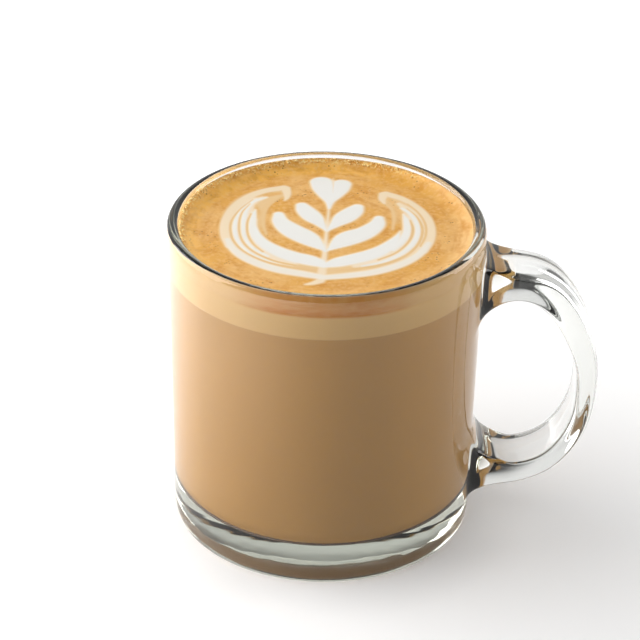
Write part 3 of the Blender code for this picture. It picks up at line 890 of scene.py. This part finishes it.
def climb_share(y):
    """How much of its full climb up the glass the crema makes, from front to back."""
    return 1 - FRONT_LOSS * (1 - smooth_step(y, *FRONT_FADE))


# The crema's bands of tone and of painted light: strength, millimetres in from the glass, and from back left
# to front right, each from where the band is not there to where it is full
BANDS = {
    # Painted light: this band brightens the climb's slope at the back left in golden crema, where the lamps
    # light it too little
    "slope_light": (0.7, (5.72, 3.12), (6.0, -24.0)),
    # Painted light: this band pales the crema near the glass on the front right, where the right light falls
    "pale": (0.5, (7.0, 1.0), (0.0, 30.0)),
    "gold": (0.6, (1.4, 0.3), (26.0, -6.0)),
    # Froth along the glass at the back left, with its bubbles' glints painted in
    "froth": (0.8, (1.5, 0.5), (16.0, -10.0)),
}
# Millimetres in from the glass between which the painted slope light fades in, and between which the crema's
# side starts
SLOPE_LIGHT_EDGE = (0.4, 1.4)
SIDE_DEPTH = (0.25, 0.02)
# The way across the crema from back left to front right
FRONT_RIGHT = (0.8, -0.6)


def crema_shares(context, points):
    """Each point's shares of milk, of the bands of tone, painted light and froth, and of the side against
    the glass.
    """
    x, y = points[:, :2].T / MM
    wall = np.array([drink_radius(context, height) for height in points[:, 2]]) / MM
    inwards = wall - np.hypot(x, y)
    across = FRONT_RIGHT[0] * x + FRONT_RIGHT[1] * y
    shares = {"milk": milk_share(x, y), "side": smooth_step(inwards, *SIDE_DEPTH)}
    for name, (strength, depth, way) in BANDS.items():
        shares[name] = strength * smooth_step(inwards, *depth) * smooth_step(across, *way)
    shares["slope_light"] *= smooth_step(inwards, *SLOPE_LIGHT_EDGE)
    return shares


class LATTE_OT_crema(bpy.types.Operator):
    """Lay the crema with the rosetta poured into it"""

    bl_idname = "latte.crema"
    bl_label = "Crema and Rosetta"

    def execute(self, context):
        drink = context.scene.latte_drink
        bm = turned(crema_profile(context), SURFACE_COLUMNS)
        piece = finished("crema_surface", bm, crema_finish(context), ["crema", "latte_art"], CORNER)
        mesh = piece.data
        co = np.empty(len(mesh.vertices) * 3, np.float32)
        mesh.vertices.foreach_get("co", co)
        co = co.reshape(-1, 3)
        shares = crema_shares(context, co)
        climb = np.maximum(co[:, 2] - drink.crema_level, 0.0)
        on_top = co[:, 2] > drink.foam_level + 1.0 * MM
        co[:, 2] -= climb * (1 - climb_share(co[:, 1] / MM))
        co[:, 2] += np.where(on_top, shares["milk"] * drink.relief, 0.0)
        mesh.vertices.foreach_set("co", co.ravel())
        for name, values in shares.items():
            attribute = mesh.attributes.new(name, "FLOAT", "POINT")
            attribute.data.foreach_set("value", values.astype(np.float32))
        mesh.update()
        return {"FINISHED"}


# Bubbles

BUBBLE_COUNT = 260
BUBBLE_SEED = 7
BUBBLE_RADII = (0.12 * MM, 0.34 * MM)
BUBBLE_ARC = (radians(50), radians(200))
# The bubbles lie over this share of the climb's width, about this many millimetres from the axis
BUBBLE_SPREAD = 0.2
BUBBLE_RING = 39.0


def bubble_skin(drink):
    """Bubbles of crema against the glass: thin wet skins, pale gold, that each catch the light."""
    made, _, shader = new_material("crema_bubble_skin")
    shader.inputs["Base Color"].default_value = rgba(drink.froth)
    shader.inputs["Roughness"].default_value = 0.3
    shader.inputs["IOR"].default_value = WET_FOAM_IOR
    return made


class LATTE_OT_bubbles(bpy.types.Operator):
    """Gather the bigger bubbles where the crema climbs the glass"""

    bl_idname = "latte.bubbles"
    bl_label = "Bubbles"

    def execute(self, context):
        drink = context.scene.latte_drink
        rng = np.random.default_rng(BUBBLE_SEED)
        bm = bmesh.new()
        small, big = BUBBLE_RADII
        for _ in range(BUBBLE_COUNT):
            radius = small + (big - small) * rng.random() ** 2
            angle = rng.uniform(*BUBBLE_ARC)
            climb = 1 - BUBBLE_SPREAD * rng.random() ** 2
            rise = drink.meniscus_rise * climb_share(sin(angle) * BUBBLE_RING)
            height = drink.crema_level + rise * climb**MENISCUS_POWER
            edge = drink_radius(context, drink.crema_level + drink.meniscus_rise)
            out = edge - drink.meniscus_width * (1 - climb) - radius - drink.reach
            place = Matrix.Translation((out * cos(angle), out * sin(angle), height))
            bmesh.ops.create_icosphere(bm, subdivisions=2, radius=radius, matrix=place)
        finished("crema_bubbles", bm, bubble_skin(drink), [])
        return {"FINISHED"}


# Stage

FLOOR_SIZE = 6.0
FLOOR_DROP = 0.0002
# Towards the unlit side of the room, behind the camera and a little to its right
DARK_DIRECTION = (0.26, -0.94, 0.22)
# How far a direction leans that way, from the white sweep to the unlit side
SWEEP_TO_DARK = (-0.95, 0.65)
# How far up a direction looks, from the walls to the ceiling, and the ceiling's share of their light
WALL_TO_CEILING = (0.45, 0.8)
CEILING_SHARE = 0.12
# Places in metres: the near and far glow by distance from the mug's axis, the left glow from left to right;
# the glow fading out towards the mug is a painted shadow round it, and the left glow is painted light
NEAR_GLOW = (0.042, 0.062)
NEAR_GLOW_STRENGTH = 0.09
FAR_GLOW = (0.06, 0.25)
LEFT_GLOW = (-0.20, 0.01)
# The soft lights: place, and width and height, in metres
LEFT_SOFTBOX = ((-0.75, 0.13, 0.40), (0.9, 0.8))
RIGHT_SOFTBOX = ((0.74, 0.22, 0.30), (0.35, 0.7))
TOP_SOFTBOX = ((0.0, -0.25, 1.05), (1.2, 1.2))
LIGHTS_AIM = (0.0, 0.0, 0.05)


def white_floor(stage):
    """Matt white acrylic sheet lit from below, so that it shows white beside the glass; its glow holds
    painted light, brighter on the left, and a painted shadow where it fades out near the mug.
    """
    made, tree, shader = new_material("matt_white_acrylic")
    shader.inputs["Base Color"].default_value = rgba(stage.floor)
    shader.inputs["Roughness"].default_value = 0.7
    shader.inputs["Specular IOR Level"].default_value = 0.1
    shader.inputs["Emission Color"].default_value = rgba(WHITE)
    spot = add_node(tree, "ShaderNodeTexCoord", {}, "Object")
    away = add_node(tree, "ShaderNodeVectorMath", {0: spot}, operation="LENGTH")
    # Painted light: the floor glows brighter on the left
    glow = fade(tree, spot, "X", *LEFT_GLOW, stage.left_glow, 0.0)
    # Painted shadow: the glow fades out close to the mug, as a contact shadow and a deeper shade round it
    rings = ((NEAR_GLOW, NEAR_GLOW_STRENGTH), (FAR_GLOW, stage.glow - NEAR_GLOW_STRENGTH))
    for (start, end), strength in rings:
        ring = add_node(tree, "ShaderNodeMapRange", {0: away, 1: start, 2: end, 4: strength}, **EASED)
        glow = add_node(tree, "ShaderNodeMath", {0: glow, 1: ring}, operation="ADD")
    tree.links.new(glow, shader.inputs["Emission Strength"])
    return made


def add_light(name, place, size, power):
    """A rectangular soft light aimed at the middle of the mug."""
    light = bpy.data.lights.new(name, "AREA")
    light.shape = "RECTANGLE"
    light.size, light.size_y = size
    light.energy = power
    lamp = bpy.data.objects.new(name, light)
    bpy.context.scene.collection.objects.link(lamp)
    lamp.location = place
    lamp.rotation_euler = (Vector(LIGHTS_AIM) - Vector(place)).to_track_quat("-Z", "Y").to_euler()
    return lamp


def add_room(stage):
    """A white room: bright where its sweep stands behind the mug, dark on the camera's side and overhead."""
    world = bpy.data.worlds.new("studio")
    world.use_nodes = True
    tree = world.node_tree
    background = tree.nodes["Background"]
    background.inputs["Color"].default_value = rgba(WHITE)
    direction = add_node(tree, "ShaderNodeTexCoord", {}, "Generated")
    lean = add_node(tree, "ShaderNodeVectorMath", {0: direction, 1: DARK_DIRECTION}, operation="DOT_PRODUCT")
    sweep, dark = SWEEP_TO_DARK
    inputs = {0: lean, 1: sweep, 2: dark, 3: stage.sweep, 4: stage.dark_side}
    around = add_node(tree, "ShaderNodeMapRange", inputs, **EASED)
    overhead = fade(tree, direction, "Z", *WALL_TO_CEILING, 1.0, CEILING_SHARE)
    strength = add_node(tree, "ShaderNodeMath", {0: around, 1: overhead}, operation="MULTIPLY")
    tree.links.new(strength, background.inputs["Strength"])
    bpy.context.scene.world = world


def add_camera(stage):
    """The camera, placed by its aim point, distance, elevation and roll."""
    data = bpy.data.cameras.new("camera")
    data.lens = stage.lens
    data.sensor_width = 36.0
    data.clip_start = 0.01
    camera = bpy.data.objects.new("camera", data)
    bpy.context.scene.collection.objects.link(camera)
    back = Vector((0.0, -cos(stage.elevation), sin(stage.elevation)))
    across = Vector((1.0, 0.0, 0.0))
    up = back.cross(across)
    right = across * cos(stage.roll) + up * sin(stage.roll)
    over = up * cos(stage.roll) - across * sin(stage.roll)
    eye = Vector((stage.aim_x, 0.0, stage.aim_z)) + back * stage.distance
    camera.matrix_world = Matrix.Translation(eye) @ Matrix((right, over, back)).transposed().to_4x4()
    bpy.context.scene.camera = camera


class LATTE_OT_stage(bpy.types.Operator):
    """Set up the plain floor, the soft lights and the camera"""

    bl_idname = "latte.stage"
    bl_label = "Stage"

    def execute(self, context):
        stage = context.scene.latte_stage
        bm = bmesh.new()
        bmesh.ops.create_grid(bm, x_segments=1, y_segments=1, size=FLOOR_SIZE / 2)
        bmesh.ops.translate(bm, verts=bm.verts[:], vec=(0, 0, -FLOOR_DROP))
        mesh = bpy.data.meshes.new("studio_floor")
        bm.to_mesh(mesh)
        bm.free()
        mesh.materials.append(white_floor(stage))
        floor = bpy.data.objects.new("studio_floor", mesh)
        context.scene.collection.objects.link(floor)
        add_light("left_softbox", *LEFT_SOFTBOX, stage.left_light)
        add_light("right_softbox", *RIGHT_SOFTBOX, stage.right_light)
        top = add_light("top_softbox", *TOP_SOFTBOX, stage.top_light)
        top.visible_glossy = False
        top.visible_transmission = False
        add_room(stage)
        context.scene.view_settings.view_transform = "Standard"
        add_camera(stage)
        return {"FINISHED"}


class LATTE_PT_panel(bpy.types.Panel):
    """Lists the pieces of the latte"""

    bl_label = "Latte"
    bl_idname = "LATTE_PT_panel"
    bl_space_type = "VIEW_3D"
    bl_region_type = "UI"
    bl_category = "Latte"

    def draw(self, context):
        for operator in OPERATORS:
            self.layout.operator(operator.bl_idname)


OPERATORS = (
    LATTE_OT_glass_mug,
    LATTE_OT_coffee,
    LATTE_OT_foam,
    LATTE_OT_crema,
    LATTE_OT_bubbles,
    LATTE_OT_stage,
)
SETTINGS = (("latte_mug", MugSettings), ("latte_drink", DrinkSettings), ("latte_stage", StageSettings))


def register():
    for name, group in SETTINGS:
        bpy.utils.register_class(group)
        setattr(bpy.types.Scene, name, bpy.props.PointerProperty(type=group))
    for made in (*OPERATORS, LATTE_PT_panel):
        bpy.utils.register_class(made)


def unregister():
    for made in (LATTE_PT_panel, *reversed(OPERATORS)):
        bpy.utils.unregister_class(made)
    for name, group in reversed(SETTINGS):
        delattr(bpy.types.Scene, name)
        bpy.utils.unregister_class(group)


def main():
    register()
    bpy.ops.latte.glass_mug()
    bpy.ops.latte.coffee()
    bpy.ops.latte.foam()
    bpy.ops.latte.crema()
    bpy.ops.latte.bubbles()
    bpy.ops.latte.stage()


if __name__ == "__main__":
    main()
